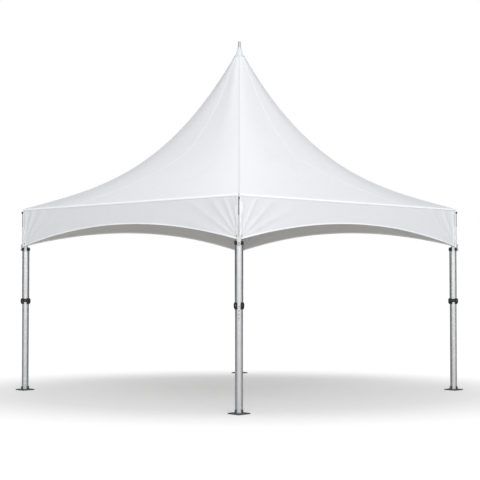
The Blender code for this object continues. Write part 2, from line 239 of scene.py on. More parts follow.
floor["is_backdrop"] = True


# Base plates: a square of 15 mm steel plate under each leg, drilled for stakes and painted dark. Four
# ears are welded upright on it round the tube.
def skin(grid, loop=True, ring=False, ends=True, flip=False):
    """Quads between neighbours of a grid of points, with coordinates in metres along rows and columns.

    A loop joins the last column to the first, a ring the last row to the first, and ends close the
    first and last rows. A closed shape is turned outward: its volume, a third of the sum over its
    faces of centre times area vector, has to be positive.
    """
    grid = np.asarray(grid, float)
    rows, columns = grid.shape[:2]
    points = grid.reshape(-1, 3)
    index = np.arange(rows * columns).reshape(rows, columns)
    index = np.vstack([index, index[:1]]) if ring else index
    index = np.hstack([index, index[:, :1]]) if loop else index
    steps = [np.linalg.norm(np.diff(points[index], axis=way), axis=2).mean(1 - way) for way in (1, 0)]
    metres = np.stack(np.meshgrid(*[np.append(0, np.cumsum(step)) for step in steps]), -1)

    def corners(table):
        quads = [table[:-1, :-1], table[:-1, 1:], table[1:, 1:], table[1:, :-1]]
        return np.stack(quads, 2).reshape(-1, 4, *table.shape[2:])

    faces, patches = [corners(index)], [corners(metres)]
    if ends and loop and not ring:
        for rim in (index[0, -2::-1], index[-1, :-1]):
            flat = points[rim] - points[rim].mean(0)
            first = flat[0] / np.linalg.norm(flat[0])
            second = np.cross(first, np.cross(flat[0], flat[len(rim) // 4]))
            second = second / max(np.linalg.norm(second), 1e-12)
            faces.append(rim[None])
            patches.append(np.stack([flat @ first, flat @ second], 1)[None])
    if loop and (ring or ends):
        placed = [points[group] for group in faces]
        flip = sum((p.mean(1) * np.cross(p, np.roll(p, -1, 1)).sum(1)).sum() for p in placed) < 0
    if flip:
        faces, patches = [group[:, ::-1] for group in faces], [patch[:, ::-1] for patch in patches]
    return points, faces, patches


hard_edge = 35


def mesh_of(name, shapes, finishes, sharp=hard_edge):
    """One mesh from several shapes. Each is a skin, or a skin and the number of its finish."""
    points, faces, patches, numbers = [], [], [], []
    count = 0
    for shape in shapes:
        (some, groups, metres), number = shape if len(shape) == 2 else (shape, 0)
        points.append(some)
        for group, patch in zip(groups, metres):
            faces += (group + count).tolist()
            patches.append(patch.reshape(-1, 2))
            numbers += [number] * len(group)
        count += len(some)
    mesh = bpy.data.meshes.new(name)
    mesh.from_pydata(np.vstack(points), [], faces)
    mesh.uv_layers.new(name="metres").data.foreach_set("uv", np.vstack(patches).ravel())
    mesh.polygons.foreach_set("material_index", numbers)
    for finish in finishes:
        mesh.materials.append(finish.material)
    mesh.shade_smooth()
    mesh.set_sharp_from_angle(angle=math.radians(sharp))
    return mesh


def drilled(name, solid, drills, others, finishes):
    """One mesh of a solid that drills are cut out of, by an exact Boolean, and of other shapes."""
    blank = bpy.data.objects.new("blank", mesh_of("blank", [solid], finishes))
    scene.collection.objects.link(blank)
    used = [blank]
    for drill in drills:
        tool = bpy.data.objects.new("drill", mesh_of("drill", [drill], finishes[:1]))
        scene.collection.objects.link(tool)
        cut = blank.modifiers.new("cut", "BOOLEAN")
        cut.operation, cut.object = "DIFFERENCE", tool
        used.append(tool)
    bpy.context.view_layer.update()
    cut_mesh = bpy.data.meshes.new_from_object(blank.evaluated_get(bpy.context.evaluated_depsgraph_get()))
    cut_mesh.set_sharp_from_angle(angle=math.radians(hard_edge))
    for thing in used:
        bpy.data.objects.remove(thing)
    whole = bmesh.new()
    whole.from_mesh(cut_mesh)
    whole.from_mesh(mesh_of("others", others, finishes))
    made = bpy.data.meshes.new(name)
    whole.to_mesh(made)
    whole.free()
    for finish in finishes:
        made.materials.append(finish.material)
    return made


def fitted(name, mesh, nodes=()):
    """Put a finished piece on the tent in place of its nodes."""
    made = bpy.data.objects.new(name, mesh)
    scene.collection.objects.link(made)
    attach(made, "root")
    if nodes:
        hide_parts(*nodes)
    return made


quarters = np.arange(4) * math.pi / 2
corner_names = ("right", "back", "left", "front")


def four_times(stem, mesh, node=None, names=corner_names):
    """A piece for each corner or side, each a quarter turn on from the last."""
    for turn, name in zip(quarters, names):
        turned = mesh.copy()
        turned.transform(Matrix.Rotation(turn, 4, "Z"))
        fitted(f"{stem}_{name}", turned, [f"{node}_{name}"] if node else [])


up = np.array([0, 0, 1])
pole = 0.0001
lobes = 6


def unit(vectors):
    """Each vector divided by its length."""
    return vectors / np.linalg.norm(vectors, axis=-1, keepdims=True)


def full_turn(steps):
    """Even angles round a whole turn."""
    return np.linspace(0, 2 * math.pi, steps, endpoint=False)


def circle(turn, first, second):
    """Steps of length one at each angle, which goes from a first way towards a second."""
    return np.cos(turn)[..., None] * first + np.sin(turn)[..., None] * second


def lathe(profile, centre=(0, 0, 0), axis=(0, 0, 1), segments=48, ring=False, swell=0):
    """A profile of radius and height turned about an axis. A solid's profile ends at the pole's radius.

    A swell for each row makes its radius rise and fall by that share at each of a knob's lobes.
    """
    profile, axis = np.asarray(profile, float), unit(np.asarray(axis, float))
    side = unit(np.cross((0, 1, 0) if abs(axis[1]) < 0.9 else up, axis))
    turn = full_turn(segments)
    radius = profile[:, :1] * (1 + np.reshape(swell, (-1, 1)) * np.cos(lobes * turn))
    grid = np.asarray(centre) + radius[..., None] * circle(turn, side, np.cross(axis, side))
    return skin(grid + profile[:, 1:, None] * axis, ring=ring, ends=not ring)


def rounded(outline, times=3):
    """Cut the corners of a closed outline at a quarter of each side, several times over."""
    outline = np.asarray(outline, float)
    for _ in range(times):
        after = np.roll(outline, -1, 0)
        outline = np.stack([0.75 * outline + 0.25 * after, 0.25 * outline + 0.75 * after], 1).reshape(-1, 2)
    return outline


leg_axis = 2.255
corner_way = np.array([1, 1, 0]) / math.sqrt(2)
across_way = np.array([-1, 1, 0]) / math.sqrt(2)
four_ways = [np.array(way, float) for way in ((1, 0, 0), (0, 1, 0), (-1, 0, 0), (0, -1, 0))]


def leg_point(outward=0.0, across=0.0, z=0.0):
    """A point measured from the first leg's axis: outward on the diagonal, across it, and up."""
    return np.array([leg_axis, leg_axis, z]) + corner_way * outward + across_way * across


def slab(outline, low, high, chamfer, first, second=up, centre=None):
    """An outline in a first and a second way, made thick across them from low to high, its edges broken.

    It is set at the leg's foot unless another centre is given.
    """
    outline = np.asarray(outline, float)
    edge = unit(np.roll(outline, -1, 0) - np.roll(outline, 1, 0))
    spin = np.sign(np.cross(outline, np.roll(outline, -1, 0)).sum())
    inside = outline + chamfer * spin * np.stack([-edge[:, 1], edge[:, 0]], 1)
    first, second = np.asarray(first, float), np.asarray(second, float)
    third = np.cross(first, second)
    centre = leg_point() if centre is None else centre
    layers = ((inside, low), (outline, low + chamfer), (outline, high - chamfer), (inside, high))
    return skin([centre + flat[:, :1] * first + flat[:, 1:] * second + level * third
                 for flat, level in layers])


paint = Finish("dark_foot_paint", Specular_IOR_Level=0.12)
dust = paint.noise(26, 5)
chips = paint.step(paint.noise(140, 4), 0.6, 0.7)
dusty = paint.blend(dust, (0.048, 0.051, 0.054), (0.105, 0.108, 0.11))
foot_grain = paint.noise(420, 2) + chips * -0.6
paint.feed(Base_Color=paint.blend(chips * 0.55, dusty, (0.25, 0.24, 0.23)),
           Roughness=paint.step(dust, 0.3, 0.7, 0.42, 0.66),
           Normal=paint.bump(foot_grain, 0.0003))

plate_half, plate_thick, stake_hole, stake_reach = 0.1, 0.015, 0.008, 0.072
plate_outline = rounded([(-1, -1), (-0.9, -1), (0.9, -1), (1, -1), (1, -0.9), (1, 0.9),
                         (1, 1), (0.9, 1), (-0.9, 1), (-1, 1), (-1, 0.9), (-1, -0.9)], 2) * plate_half
plate = slab(plate_outline, 0, plate_thick, 0.0012, (1, 0, 0), (0, 1, 0))
stake_profile = [(stake_hole, -0.01), (stake_hole, plate_thick + 0.015)]
holes = [lathe(stake_profile, leg_point() + stake_reach * np.array([x, y, 0]), segments=24)
         for x in (-1, 1) for y in (-1, 1)]
ear_outline = rounded([(0.0493, 0.014), (0.084, 0.014), (0.072, 0.021), (0.066, 0.032), (0.073, 0.042),
                       (0.069, 0.054), (0.058, 0.06), (0.0493, 0.058)])
ears = [slab(ear_outline, -0.005, 0.005, 0.0012, way) for way in four_ways]
fillet = [(0.0493, -0.001), (0.054, -0.001), (0.0522, 0.0017), (0.0504, 0.004), (0.0493, 0.0044)]
weld = lathe(np.array(fillet) + (0, plate_thick), leg_point(), ring=True, segments=96)
foot = drilled("foot", plate, holes, [*ears, weld], [paint])
four_times("foot", foot, "base_plate")


# Lower legs: round tube, extruded, anodised and satin, with a row of height holes down the outer side.
# It stands on the plate and slides in the upper tube. A black plug sits just inside the top hole, a painted
# shade that makes the hole look deep.
def metal(name, colour, shine, metallic=1.0):
    """Extruded aluminium: fine streaks along the tube, faint clouds in the anodising, rubbed patches."""
    finish = Finish(name, Metallic=metallic)
    streaks = finish.noise(1.0, 3, place=finish.stretched(finish.cloth, 260, 1.2, 1))
    clouds = finish.noise(5.0, 4)
    rubs = finish.step(finish.noise(1.0, 5, place=finish.stretched(finish.place, 18, 18, 7)), 0.58, 0.72)
    bright = tuple(min(1.0, part * 1.08) for part in colour)
    dull = tuple(part * 0.86 for part in colour)
    tone = finish.blend(streaks * 0.6 + clouds * 0.4, dull, bright)
    return finish.feed(Base_Color=finish.blend(rubs * 0.35, tone, bright),
                       Roughness=streaks * 0.12 + clouds * 0.06 + rubs * 0.08 + (shine - 0.09),
                       Normal=finish.bump(streaks, 0.00015, 0.6))


def mottled(name, scale, dark, light, smooth, dull, grain=None, **constants):
    """Moulded, cast or plated: tone and roughness both follow one cloudy noise.

    A grain is the scale, the detail and the depth of a fine relief.
    """
    finish = Finish(name, **constants)
    clouds = finish.noise(scale, 4)
    finish.feed(Base_Color=finish.blend(clouds, dark, light),
                Roughness=finish.step(clouds, 0.3, 0.7, smooth, dull))
    if grain:
        fineness, detail, depth = grain
        finish.feed(Normal=finish.bump(finish.noise(fineness, detail), depth, 0.5))
    return finish


def wall(radius, thickness, low, high, levels=()):
    """The closed profile of a tube's wall, with both ends broken and extra rows at some levels."""
    edge = 0.001
    outer = [(radius - edge, low), (radius, low + edge), *[(radius, z) for z in levels],
             (radius, high - edge), (radius - edge, high)]
    return outer + [(radius - thickness, high), (radius - thickness, low)]


def leg_tube(radius, thickness, low, high, levels=(), segments=64):
    """A tube that stands on the leg's axis."""
    return lathe(wall(radius, thickness, low, high, levels), leg_point(), segments=segments, ring=True)


def disc(radius, low, high):
    """The profile of a solid disc or pin with square ends."""
    return [(pole, low), (radius, low), (radius, high), (pole, high)]


def on_diagonal(profile, z, segments=24):
    """A profile turned about the leg's outward diagonal, with its heights measured from the leg's axis."""
    return lathe(profile, leg_point(z=z), corner_way, segments)


tube_metal = metal("anodised_tube", (0.85, 0.86, 0.88), 0.33)
black = mottled("black_moulding", 35, (0.01, 0.01, 0.011), (0.03, 0.03, 0.032), 0.38, 0.56,
                grain=(900, 2, 0.0002))

hole_radius, hole_levels, drill_from, drill_to = 0.0066, (1.259, 1.214, 1.169), 0.03, 0.07
leg_foot, lower_radius, lower_wall, lower_top = 0.0153, 0.049, 0.003, 1.7
hole_rows = sorted(z + step for z in hole_levels for step in (-0.01, 0.01))
lower_tube = leg_tube(lower_radius, lower_wall, leg_foot, lower_top, hole_rows)
drills = [on_diagonal([(hole_radius, drill_from), (hole_radius, drill_to)], z, 20) for z in hole_levels]
# Painted shade: a black disc inside the top hole.
plug = on_diagonal(disc(0.0062, 0.044, 0.0478), hole_levels[0], 20)
lower = drilled("lower", lower_tube, drills, [(plug, 1)], [tube_metal, black])
four_times("lower_tube", lower, "lower_leg")


# Upper legs: a slightly wider tube over the lower one, with a sprung steel button through both where
# they meet, and a dark screw just under the head.
zinc = mottled("zinc_plate", 90, (0.42, 0.42, 0.41), (0.63, 0.62, 0.58), 0.3, 0.48, Metallic=1.0)

upper_radius, upper_wall, upper_low, upper_top = 0.052, 0.0027, 1.3, 2.066
button_z, button_hole, screw_z = 1.316, 0.0075, 2.057
upper_tube = leg_tube(upper_radius, upper_wall, upper_low, upper_top, [button_z + 0.012])
button_drill = on_diagonal([(button_hole, drill_from), (button_hole, drill_to)], button_z)
button = on_diagonal([(0.006, 0.04), (0.006, 0.0545), (0.0052, 0.0562), (0.0034, 0.0572), (pole, 0.0576)],
                     button_z)
screw = on_diagonal([(0.0058, 0.0515), (0.0058, 0.053), (0.0048, 0.0543), (0.0026, 0.0551), (pole, 0.0553)],
                    screw_z)
upper = drilled("upper", upper_tube, [button_drill], [(button, 1), (screw, 2)], [tube_metal, zinc, black])
four_times("upper_tube", upper, "upper_leg")


# Splice collars: a split black band round the foot of the upper tube. Four clamp jaws grip it, each a
# saddle with a pair of curved fins and a zinc bolt through them. An aluminium tab closes the split.
def sweep(section, angles):
    """A section of radius and height carried round the leg's axis through part of a turn."""
    section = np.asarray(section, float)
    way = circle(angles, (1, 0, 0), (0, 1, 0))
    return skin(leg_point() + section[None, :, :1] * way[:, None] + section[None, :, 1:] * up)


def broken_box(low, high, bottom, top, edge):
    """A rectangle of radius and height with its corners cut off."""
    return [(low, bottom + edge), (low + edge, bottom), (high - edge, bottom), (high, bottom + edge),
            (high, top - edge), (high - edge, top), (low + edge, top), (low, top - edge)]


fin_in, fin_out, bolt_z, bolt_from_axis = 0.0045, 0.013, 1.326, 0.07
bolt_radius, bolt_grip = 0.0065, 0.0035


def bolt(centre, axis):
    """A hexagon head and its washer at one end and a nut with a short stub of thread at the other."""
    head_end, nut_end = fin_out + bolt_grip, -fin_out - bolt_grip
    washer = disc(bolt_radius * 1.15, fin_out, fin_out + 0.0012)
    hexagon = [(pole, fin_out + 0.001), (bolt_radius, fin_out + 0.001), (bolt_radius, head_end),
               (bolt_radius * 0.86, head_end + 0.001), (pole, head_end + 0.001)]
    nut = disc(bolt_radius, -fin_out, nut_end)
    stub = [(pole, -fin_out), (bolt_radius * 0.5, -fin_out), (bolt_radius * 0.5, nut_end - 0.003),
            (pole, nut_end - 0.0035)]
    turned = ((washer, 20), (hexagon, 6), (nut, 6), (stub, 12))
    return [lathe(profile, centre, axis, segments) for profile, segments in turned]


band_low, band_high, band_inner, band_outer, split_half = 1.307, 1.357, 0.0523, 0.0585, 0.026
gap_angle = math.asin(split_half / band_outer)
band_turn = math.pi / 4 + np.linspace(gap_angle, 2 * math.pi - gap_angle, 73)
collar = [sweep(broken_box(band_inner, band_outer, band_low, band_high, 0.0015), band_turn)]
for z in (band_low + 0.005, band_high - 0.005):
    rib = broken_box(band_outer - 0.001, band_outer + 0.0016, z - 0.004, z + 0.004, 0.0008)
    collar.append(sweep(rib, band_turn))
saddle = broken_box(band_outer - 0.002, band_outer + 0.0045, 1.28, 1.362, 0.002)
saddle_turn = np.linspace(-0.36, 0.36, 13)
fin_outline = rounded([(0.057, 1.36), (0.066, 1.365), (0.075, 1.358), (0.081, 1.342), (0.083, 1.322),
                       (0.08, 1.303), (0.073, 1.288), (0.064, 1.278), (0.057, 1.275)])
for turn, way in zip(quarters, four_ways):
    collar.append(sweep(saddle, turn + saddle_turn))
    for low, high in ((-fin_out, -fin_in), (fin_in, fin_out)):
        collar.append(slab(fin_outline, low, high, 0.0016, way))
    collar += [(shape, 1) for shape in bolt(leg_point(z=bolt_z) + way * bolt_from_axis, np.cross(up, way))]
tab_outline = rounded([(-0.018, 1.288), (0.018, 1.288), (0.018, 1.344), (0.01, 1.35), (-0.01, 1.35),
                       (-0.018, 1.344)], 2)
tab = slab(tab_outline, 0.0525, 0.0605, 0.001, across_way)
latch_outline = rounded([(-0.0035, 1.302), (0.0035, 1.302), (0.0035, 1.322), (-0.0035, 1.322)], 2)
latch = slab(latch_outline, 0.06, 0.062, 0.0005, across_way)
clamp = mesh_of("clamp", [*collar, (tab, 2), latch], [black, zinc, tube_metal])
four_times("splice_clamp", clamp, "splice_collar")


# Leg heads: a cast plug closes each leg, with a black clamp block and a lobed knob on each side. On the
# outer diagonal a bright pressed bracket with two flanges sits on a pin and holds the valances' tips.
cast_metal = mottled("cast_aluminium", 14, (0.56, 0.57, 0.58), (0.74, 0.74, 0.75), 0.36, 0.5,
                     grain=(300, 3, 0.0003), Metallic=1.0)

head_low, head_top, head_radius, head_waist = 2.0663, 2.122, 0.054, 0.052
head = lathe([(pole, head_low), (head_radius - 0.001, head_low), (head_radius, head_low + 0.001),
              (head_radius, 2.078), (head_waist, 2.08), (head_waist, 2.108),
              (head_radius, 2.11), (head_radius, head_top - 0.004), (head_radius - 0.004, head_top),
              (pole, head_top)], leg_point(), segments=64)
knob_z, bracket_z, bracket_top = 2.094, 2.088, 2.165
knob_profile = [(pole, 0.05), (0.0085, 0.05), (0.0085, 0.058), (0.0115, 0.0588), (0.0134, 0.0605),
                (0.0134, 0.0665), (0.0122, 0.0692), (0.0095, 0.0708), (pole, 0.0715)]
knob_swell = [0, 0, 0, 0.06, 0.1, 0.1, 0.08, 0.04, 0]
knobs = [lathe(knob_profile, leg_point(z=knob_z), way, 48, swell=knob_swell) for way in four_ways]
half_turn = np.linspace(math.pi, 2 * math.pi, 17)
shield_foot = circle(half_turn, (0.022, 0), (0, 0.022)) + (0, bracket_z)
shield_head = [(0.0245, 2.118), (0.0295, 2.158), (0.0275, bracket_top), (0.006, bracket_top),
               (-0.006, bracket_top), (-0.0275, bracket_top), (-0.0295, 2.158), (-0.0245, 2.118)]
shield = slab(np.vstack([shield_foot, shield_head]), 0.0665, 0.0725, 0.0012, across_way)
flange_outline = rounded([(0.05, 2.074), (0.067, 2.074), (0.067, 2.15), (0.06, 2.15),
                          (0.05, 2.124)], 2)
flanges = [slab(flange_outline, level, level + 0.004, 0.0008, corner_way) for level in (-0.0215, 0.0175)]
spacer = on_diagonal([(0.013, 0.05), (0.013, 0.0672)], bracket_z, 32)
washer = on_diagonal([(0.0095, 0.072), (0.0095, 0.0738), (pole, 0.0739)], bracket_z, 28)
pin = on_diagonal([(0.0064, 0.073), (0.0064, 0.0775), (0.0052, 0.08), (0.0032, 0.0815), (pole, 0.082)],
                  bracket_z)
block_outline = rounded([(-0.02, 2.069), (0.02, 2.069), (0.023, 2.08), (0.021, 2.112), (0.012, 2.119),
                         (-0.012, 2.119), (-0.021, 2.112), (-0.023, 2.08)], 2)
blocks = [slab(block_outline, 0.0495, 0.0605, 0.002, np.cross(up, way)) for way in four_ways]
bright_parts = [(shape, 1) for shape in (shield, *flanges, spacer)]
cap_parts = [(head, 1), *knobs, *blocks, *bright_parts, (washer, 2), pin]
four_times("leg_cap", mesh_of("cap", cap_parts, [black, cast_metal, zinc]), "leg_head")


# Corner frames: a tube stands on each leg's head inside the fabric and carries a cast elbow with a
# socket for each rail. A stud from the elbow comes out at the corner to an oblong black knob.
rail_axis, rail_z, rail_radius, socket_radius = 2.2474, 2.648, 0.03, 0.0343
elbow_half, knob_out, stud_z, fit_gap = 0.033, 0.056, 2.641, 0.0002
elbow_centre = np.array([rail_axis, rail_axis, rail_z])
elbow_outline = broken_box(-elbow_half, elbow_half, -elbow_half, elbow_half, 0.009)
elbow = slab(elbow_outline, -elbow_half, elbow_half, 0.007, (1, 0, 0), (0, 1, 0), elbow_centre)
upright = leg_tube(0.02415, 0.0025, head_top + 0.0003, rail_z - 0.02, segments=48)
corner_parts = [upright, (elbow, 1)]
socket = [(rail_radius + fit_gap, 0.03), (socket_radius - 0.001, 0.03), (socket_radius, 0.032),
          (socket_radius, 0.102), (socket_radius - 0.0015, 0.104), (rail_radius + fit_gap, 0.104)]
set_screw = [(0.0075, socket_radius - 0.002), (0.0075, socket_radius + 0.0035),
             (0.0062, socket_radius + 0.0047), (pole, socket_radius + 0.0049)]
for way, inward in (four_ways[2:], four_ways[:1:-1]):
    corner_parts.append((lathe(socket, elbow_centre, way, 48, ring=True), 1))
    for reach in (0.055, 0.085):
        corner_parts.append((lathe(set_screw, elbow_centre + way * reach, inward, 6), 2))
flange_profile = [(0.0243, 0.0003), (0.036, 0.0003), (0.036, 0.005), (0.029, 0.01), (0.0243, 0.011)]
foot_flange = lathe(np.array(flange_profile) + (0, head_top), leg_point(), segments=48, ring=True)
stud = on_diagonal([(0.007, 0.0), (0.007, knob_out - 0.008)], stud_z)
knob_outline = np.array([(-0.0085, -0.016), (0.0085, -0.016), (0.0095, 0), (0.0085, 0.016),
                         (-0.0085, 0.016), (-0.0095, 0)]) + (0, stud_z)
stud_knob = slab(rounded(knob_outline, 2), knob_out - 0.01, knob_out + 0.012, 0.0025, across_way)
corner_parts += [(foot_flange, 1), (stud, 2), (stud_knob, 3)]
casting = mesh_of("casting", corner_parts, [tube_metal, cast_metal, zinc, black])
four_times("corner_casting", casting, "corner_frame")


# Corner rods: a slim anodised tube outside each fabric corner, from the bracket up to half its height,
# and a dull rod, painted dark grey as shade under the eave, that slides in it and reaches the knob. It
# draws the valance tips down.
rod_metal_painted_shade = metal("dark_rod_aluminium_painted_shade", (0.3, 0.3, 0.31), 0.42)
rod_low, rod_joint, rod_high = bracket_top - 0.03, 2.43, 2.6257
rod_radius, core_radius = 0.007, 0.0058
rod_sleeve = [(pole, rod_low), (rod_radius - 0.001, rod_low), (rod_radius, rod_low + 0.001),
              (rod_radius, rod_joint - 0.001), (rod_radius - 0.001, rod_joint), (pole, rod_joint)]
rod_core = [(pole, rod_joint - 0.01), (core_radius, rod_joint - 0.01), (core_radius, rod_high - 0.001),
            (rod_radius - 0.002, rod_high), (pole, rod_high)]
rod_place = leg_point(0.053, -0.004)
rod_parts = [lathe(rod_sleeve, rod_place, segments=24), (lathe(rod_core, rod_place, segments=24), 1)]
four_times("tension_rod", mesh_of("rod", rod_parts, [tube_metal, rod_metal_painted_shade]), "corner_rod")


# Eave rails: two lengths of round tube on each side, joined at the middle by a sleeve with two black
# clamp knobs on its inner face. Their ends push into the elbows.
side_names = ("back_right", "back_left", "front_left", "front_right")
rail_end, sleeve_half, clamp_at = rail_axis - elbow_half - 0.0003, 0.15, 0.095
rail_centre = np.array([0, rail_axis, rail_z])
rail = lathe(wall(rail_radius, 0.003, -rail_end, rail_end), rail_centre, (1, 0, 0), 48, ring=True)
sleeve_profile = [(rail_radius + fit_gap, -sleeve_half), (socket_radius - 0.0012, -sleeve_half),
                  (socket_radius, -sleeve_half + 0.002), (socket_radius, sleeve_half - 0.002),
                  (socket_radius - 0.0012, sleeve_half), (rail_radius + fit_gap, sleeve_half)]
sleeve = lathe(sleeve_profile, rail_centre, (1, 0, 0), 48, ring=True)
clamp_profile = [(0.0085, 0.03), (0.0085, 0.042), (0.016, 0.043), (0.018, 0.047), (0.018, 0.056),
                 (0.0165, 0.06), (0.012, 0.062), (pole, 0.0625)]
clamp_swell = [0, 0, 0.06, 0.1, 0.1, 0.07, 0.03, 0]
clamp_way = (0, -0.94, -0.34)
clamp_knobs = [(lathe(clamp_profile, rail_centre + np.array([x, 0, 0]), clamp_way, swell=clamp_swell), 1)
               for x in (-clamp_at, clamp_at)]
rail_mesh = mesh_of("rail", [rail, sleeve, *clamp_knobs], [tube_metal, black])
four_times("rail", rail_mesh, "eave_rail", side_names)


# Cross cables: galvanised wire rope of six strands laid round a core, pulled tight from each elbow to
# the mast's foot, with a swaged end at the foot and a turnbuckle at the elbow.
wire = mottled("galvanised_wire", 160, (0.3, 0.31, 0.32), (0.55, 0.56, 0.57), 0.34, 0.52, Metallic=1.0)
cable_in, cable_out, cable_low = 0.076, 3.1308, 2.515
cable_start = corner_way * cable_in + up * cable_low
cable_run = corner_way * (cable_out - cable_in) + up * (rail_z - cable_low)
cable_length = np.linalg.norm(cable_run)
cable_way = cable_run / cable_length
cable_up = np.cross(across_way, cable_way)
rope_start, rope_end = 0.05, cable_length - 0.25
strand_radius, strand_offset, strand_lay = 0.0016, 0.0031, 0.075


def strand(phase, offset, steps):
    """A strand of the rope: its centre turns once in every lay of length, at a fixed offset."""
    run = np.linspace(rope_start, rope_end, steps)
    round_rope = circle(phase + 2 * math.pi * run / strand_lay, across_way, cable_up)
    centre = cable_start + run[:, None] * cable_way + offset * round_rope
    return skin(centre[:, None] + strand_radius * circle(full_turn(6), across_way, cable_up))


def on_cable(profile, base=0.0, segments=24):
    """A profile turned about the cable, with its heights measured along it from a base."""
    return lathe(np.asarray(profile) + (0, base), cable_start, cable_way, segments)


swage = [(pole, 0.004), (0.006, 0.004), (0.007, 0.01), (0.007, 0.075), (0.0052, 0.08), (pole, 0.08)]
rope_socket = [(pole, -0.03), (0.0052, -0.03), (0.007, -0.025), (0.007, 0.01), (pole, 0.01)]
buckle = [(pole, 0.025), (0.009, 0.025), (0.0105, 0.03), (0.0105, 0.048), (0.0062, 0.056), (0.0062, 0.164),
          (0.0105, 0.172), (0.0105, 0.19), (0.009, 0.195), (pole, 0.195)]
cable_parts = [*[strand(k * math.pi / 3, strand_offset, 340) for k in range(6)], strand(0, 0, 2),
               on_cable(swage), on_cable(rope_socket, rope_end),
               on_cable(disc(0.0045, rope_end, cable_length - 0.002)), on_cable(buckle, rope_end, 28),
               on_cable(disc(0.0085, 0.016, 0.023), rope_end, 6)]
four_times("stay_cable", mesh_of("cable", cable_parts, [wire]), "cross_cable")


# Mast: a cast cup on the crossed cables, a round tube that stands in it, a turned spreader that holds
# the roof's top edge open, and an aluminium finial.
foot_low, foot_floor, foot_top, foot_radius, mast_radius = 2.48, 2.5, 2.55, 0.075, 0.0242
cup_bore = mast_radius + 0.0003
cup = lathe([(pole, foot_floor), (cup_bore, foot_floor), (cup_bore, foot_top - 0.001),
             (mast_radius + 0.0013, foot_top), (mast_radius + 0.009, foot_top),
             (mast_radius + 0.0115, foot_top - 0.003), (0.046, foot_top - 0.008),
             (foot_radius - 0.008, foot_top - 0.017), (foot_radius - 0.001, foot_top - 0.023),
             (foot_radius, foot_top - 0.028), (foot_radius, foot_low + 0.013),
             (foot_radius - 0.004, foot_low + 0.007), (foot_radius - 0.02, foot_low), (pole, foot_low)],
            segments=72)
cup_screw = [(0.0055, 0.028), (0.0055, 0.0385), (pole, 0.0388)]
cup_screws = [(lathe(cup_screw, (0, 0, foot_top - 0.006), way, 6), 1) for way in four_ways]
fitted("mast_cup", mesh_of("cup", [cup, *cup_screws], [cast_metal, zinc]), ["mast_foot"])

half_side, ring_radius = 2.286, 0.046
eave_z, eave_rise, middle_rise, mast_rise = 2.69, 0.894, -0.324, 1.859


def roof_height(share):
    """Height of the hip at a share of its plan length: a cubic in what is left to the mast."""
    left = 1 - share
    return eave_z + eave_rise * left + middle_rise * left ** 2 + mast_rise * left ** 3


hip_reach = half_side * math.sqrt(2)
ring_share = ring_radius / hip_reach
ring_z = float(roof_height(ring_share))
crown_radius, crown_z = ring_radius - 0.0056, ring_z - 0.003
mast_low, mast_top, mast_bore = 2.5003, 5.1297, mast_radius - 0.003
mast_profile = [(mast_radius - 0.001, mast_top), (mast_radius, mast_top - 0.001),
                (mast_radius, crown_z + 0.012), (crown_radius - 0.006, crown_z),
                (crown_radius - 0.001, crown_z - 0.0035), (crown_radius, crown_z - 0.006),
                (crown_radius, crown_z - 0.016), (mast_radius, crown_z - 0.06), (mast_radius, 2.502),
                (mast_radius - 0.001, mast_low), (mast_bore, mast_low), (mast_bore, mast_top)]
mast_mesh = mesh_of("mast", [lathe(mast_profile, ring=True, segments=64)], [tube_metal])
fitted("mast_tube", mast_mesh, ["centre_mast"])

cap_metal = metal("dull_aluminium", (0.5, 0.5, 0.51), 0.5, metallic=0.35)
cap_radius, cap_low, cap_top, tenon_radius = 0.0215, 5.13, 5.225, 0.0208
dome = np.linspace(0.02, math.pi / 2, 10)
cap_profile = [(cap_radius * math.sin(a), cap_top - cap_radius * (1 - math.cos(a))) for a in dome]
cap_profile += [(cap_radius, 5.158), (cap_radius - 0.001, 5.157), (cap_radius - 0.001, 5.154),
                (cap_radius, 5.153), (cap_radius, cap_low + 0.01), (mast_radius, cap_low + 0.008),
                (mast_radius, cap_low + 0.001), (mast_radius - 0.001, cap_low), (tenon_radius, cap_low),
                (tenon_radius, cap_low - 0.06), (pole, cap_low - 0.06)]
finial_mesh = mesh_of("finial", [lathe(cap_profile, segments=64)], [cap_metal])
fitted("finial", finial_mesh, ["mast_cap"])


# Roof: one top of coated polyester, welded from gores, stretched from the mast's ring down to the square
# eave and turned down over the rails. Outside it is white and softly glossy, inside a dull warm grey.
thread_pitch, stitch_pitch, stitch_inset = 0.0022, 0.0055, 0.006
stitch_grey, eave_painted_light = (0.35, 0.36, 0.38), (0.8, 0.812, 0.83)


